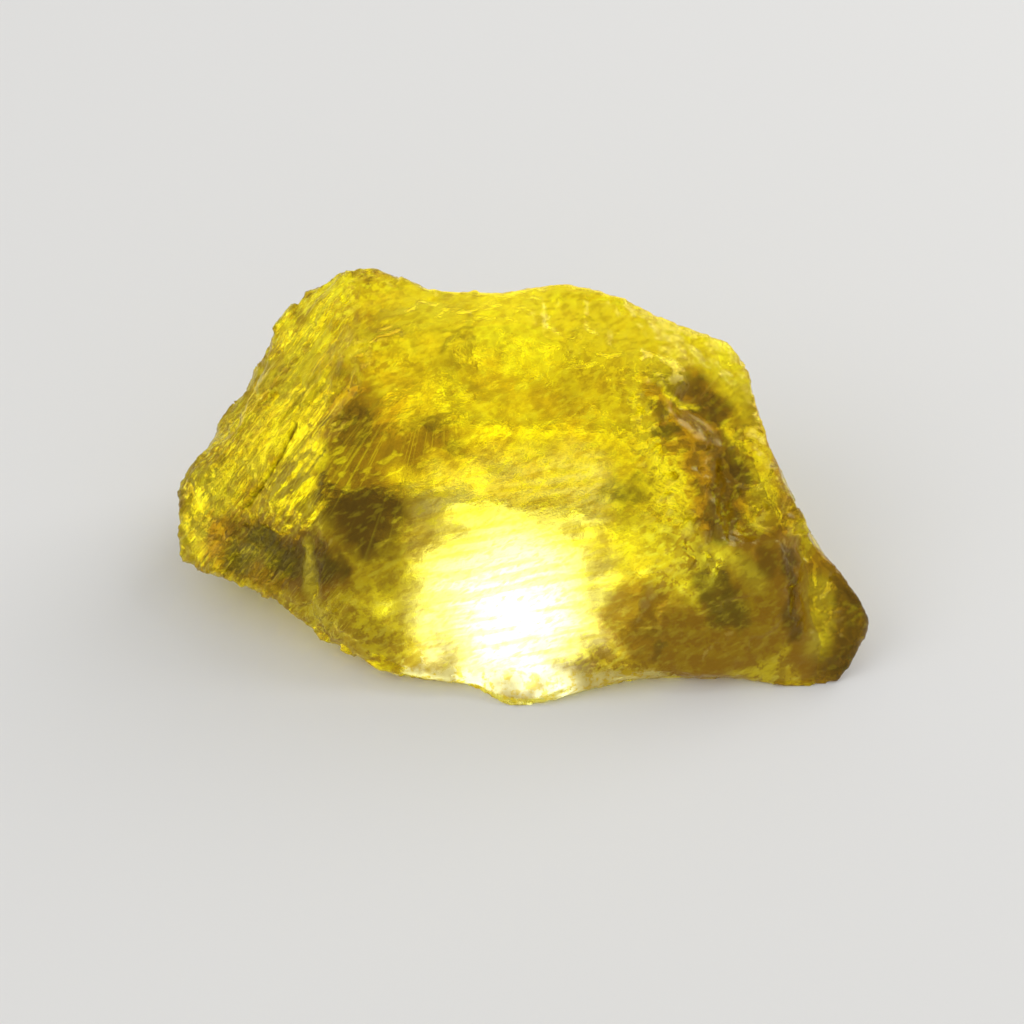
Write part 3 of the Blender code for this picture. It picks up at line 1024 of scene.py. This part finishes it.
class AMBER_OT_lump(bpy.types.Operator):
    """Build the amber lump over its solid"""

    bl_idname = "amber.lump"
    bl_label = "Amber lump"

    def execute(self, context):
        noise.seed_set(NOISE_SEED)  # without it each run has its own noise
        sizes = context.scene.amber_sizes
        piece, bm = rounded_copy(sizes.step)
        points = raise_relief(bm, sizes)
        bm.to_mesh(piece.data)
        bm.free()
        if len(piece.data.polygons) < FEWEST_FACES:
            raise RuntimeError("the lump came out with almost no faces")
        paint_zones(piece.data, points)
        paint_drifts(piece.data, points)
        piece.data.shade_smooth()
        piece.data.set_sharp_from_angle(angle=SHARP_EDGE)
        piece.data.materials.clear()
        piece.data.materials.append(amber_material(context.scene.amber_colours))
        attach(piece, "root")
        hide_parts(NODE)
        return {"FINISHED"}


FLOOR_DEPTH = 0.06 * MM
FLOOR_HALF = 3.0
PLATE_MIDDLE = Vector((2.0, -5.0, 0.0)) * MM
PLATE_SHARE = 0.93  # the plate's size, as a share of the foot's
PLATE_LIFT = 0.04 * MM
FLAT_FOOT = LOW.z + 0.01 * MM  # faces with their middle below this are the foot
STUDIO_LIGHT = (0.62, 0.95)  # seen past the lump, and seen through it
CLIP_START = 0.01
LIGHT_TURNS, DIFFUSE_TURNS = 8, 2

# Each lamp's name, place, what it shines at, size and power
LAMPS = (
    ("key", (0.60, 0.45, 0.55), (0, 0.03, 0), 0.7, 3.6),
    ("fill", (-0.55, -0.25, 0.6), (0, 0, 0), 0.6, 1.2),
)


def area_lamp(name, place, towards, size, power):
    data = bpy.data.lights.new(name, "AREA")
    data.shape = "DISK"
    data.size = size
    data.energy = power
    lamp = bpy.data.objects.new(name, data)
    bpy.context.scene.collection.objects.link(lamp)
    lamp.location = place
    lamp.rotation_mode = "QUATERNION"
    lamp.rotation_quaternion = (Vector(towards) - Vector(place)).to_track_quat("-Z", "Y")


class AMBER_OT_stage(bpy.types.Operator):
    """Set up the floor, the studio, the lit plate under the lump and the camera"""

    bl_idname = "amber.stage"
    bl_label = "Stage"

    def execute(self, context):
        stage = context.scene.amber_stage
        self.make_floor(stage)
        self.make_plate(stage)
        self.make_world(context.scene)
        self.make_lamps()
        self.make_camera(context.scene, stage)
        return {"FINISHED"}

    def make_floor(self, stage):
        bm = bmesh.new()
        bmesh.ops.create_grid(bm, x_segments=1, y_segments=1, size=FLOOR_HALF)
        bmesh.ops.translate(bm, verts=bm.verts, vec=(0, 0, -FLOOR_DEPTH))
        self.staged("floor", bm, floor_material(stage))

    def make_plate(self, stage):
        """A lit plate in the shape of the foot, and just inside it, so that no air gap mirrors it away."""
        bm = bmesh.new()
        bm.from_mesh(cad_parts[NODE].data)
        bmesh.ops.remove_doubles(bm, verts=bm.verts, dist=MERGE)
        high = [face for face in bm.faces if face.calc_center_median().z > FLAT_FOOT]
        bmesh.ops.delete(bm, geom=high, context="FACES")
        bmesh.ops.reverse_faces(bm, faces=bm.faces)
        bmesh.ops.translate(bm, verts=bm.verts, vec=-PLATE_MIDDLE)
        bmesh.ops.scale(bm, verts=bm.verts, vec=(PLATE_SHARE, PLATE_SHARE, 1.0))
        bmesh.ops.translate(bm, verts=bm.verts, vec=PLATE_MIDDLE + Vector((0, 0, PLATE_LIFT)))
        self.staged("lit_plate", bm, glow_material(stage))

    def staged(self, name, bm, material):
        mesh = bpy.data.meshes.new(name)
        bm.to_mesh(mesh)
        bm.free()
        mesh.materials.append(material)
        piece = bpy.data.objects.new(name, mesh)
        bpy.context.scene.collection.objects.link(piece)

    def make_world(self, scene):
        """Even studio light. Like the floor, it is brighter seen through the lump."""
        world = bpy.data.worlds.new("studio")
        world.use_nodes = True
        tree = world.node_tree
        back = tree.nodes["Background"]
        back.inputs["Color"].default_value = WHITE
        through = add(tree, "ShaderNodeLightPath").outputs["Is Transmission Ray"]
        link(tree, spread(tree, through, 0.0, 1.0, STUDIO_LIGHT, False), back.inputs["Strength"])
        world.cycles.sampling_method = "NONE"
        scene.world = world

    def make_lamps(self):
        for lamp in LAMPS:
            area_lamp(*lamp)

    def make_camera(self, scene, stage):
        data = bpy.data.cameras.new("camera")
        data.lens = stage.lens
        data.clip_start = CLIP_START
        camera = bpy.data.objects.new("camera", data)
        scene.collection.objects.link(camera)
        back = Vector((0.0, -math.cos(stage.elevation), math.sin(stage.elevation)))
        camera.location = Vector(stage.target) + back * stage.distance
        camera.rotation_mode = "QUATERNION"
        camera.rotation_quaternion = (-back).to_track_quat("-Z", "Y")
        scene.camera = camera
        scene.view_settings.view_transform = "Standard"
        scene.cycles.max_bounces = LIGHT_TURNS
        scene.cycles.transmission_bounces = LIGHT_TURNS
        scene.cycles.diffuse_bounces = DIFFUSE_TURNS


class AMBER_PT_panel(bpy.types.Panel):
    """The amber piece's settings and steps"""

    bl_label = "Raw Amber"
    bl_idname = "AMBER_PT_panel"
    bl_space_type = "VIEW_3D"
    bl_region_type = "UI"
    bl_category = "Amber"

    def draw(self, context):
        scene = context.scene
        for group in (scene.amber_sizes, scene.amber_colours, scene.amber_stage):
            box = self.layout.box()
            for name in group.__annotations__:
                box.prop(group, name)
        self.layout.operator(AMBER_OT_lump.bl_idname)
        self.layout.operator(AMBER_OT_stage.bl_idname)


CLASSES = (AmberSizes, AmberColours, StageSettings, AMBER_OT_lump, AMBER_OT_stage, AMBER_PT_panel)


def register():
    for cls in CLASSES:
        bpy.utils.register_class(cls)
    bpy.types.Scene.amber_sizes = PointerProperty(type=AmberSizes)
    bpy.types.Scene.amber_colours = PointerProperty(type=AmberColours)
    bpy.types.Scene.amber_stage = PointerProperty(type=StageSettings)


def unregister():
    del bpy.types.Scene.amber_stage
    del bpy.types.Scene.amber_colours
    del bpy.types.Scene.amber_sizes
    for cls in reversed(CLASSES):
        bpy.utils.unregister_class(cls)


def main():
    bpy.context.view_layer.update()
    register()
    bpy.ops.amber.lump()
    bpy.ops.amber.stage()


if __name__ == "__main__":
    main()
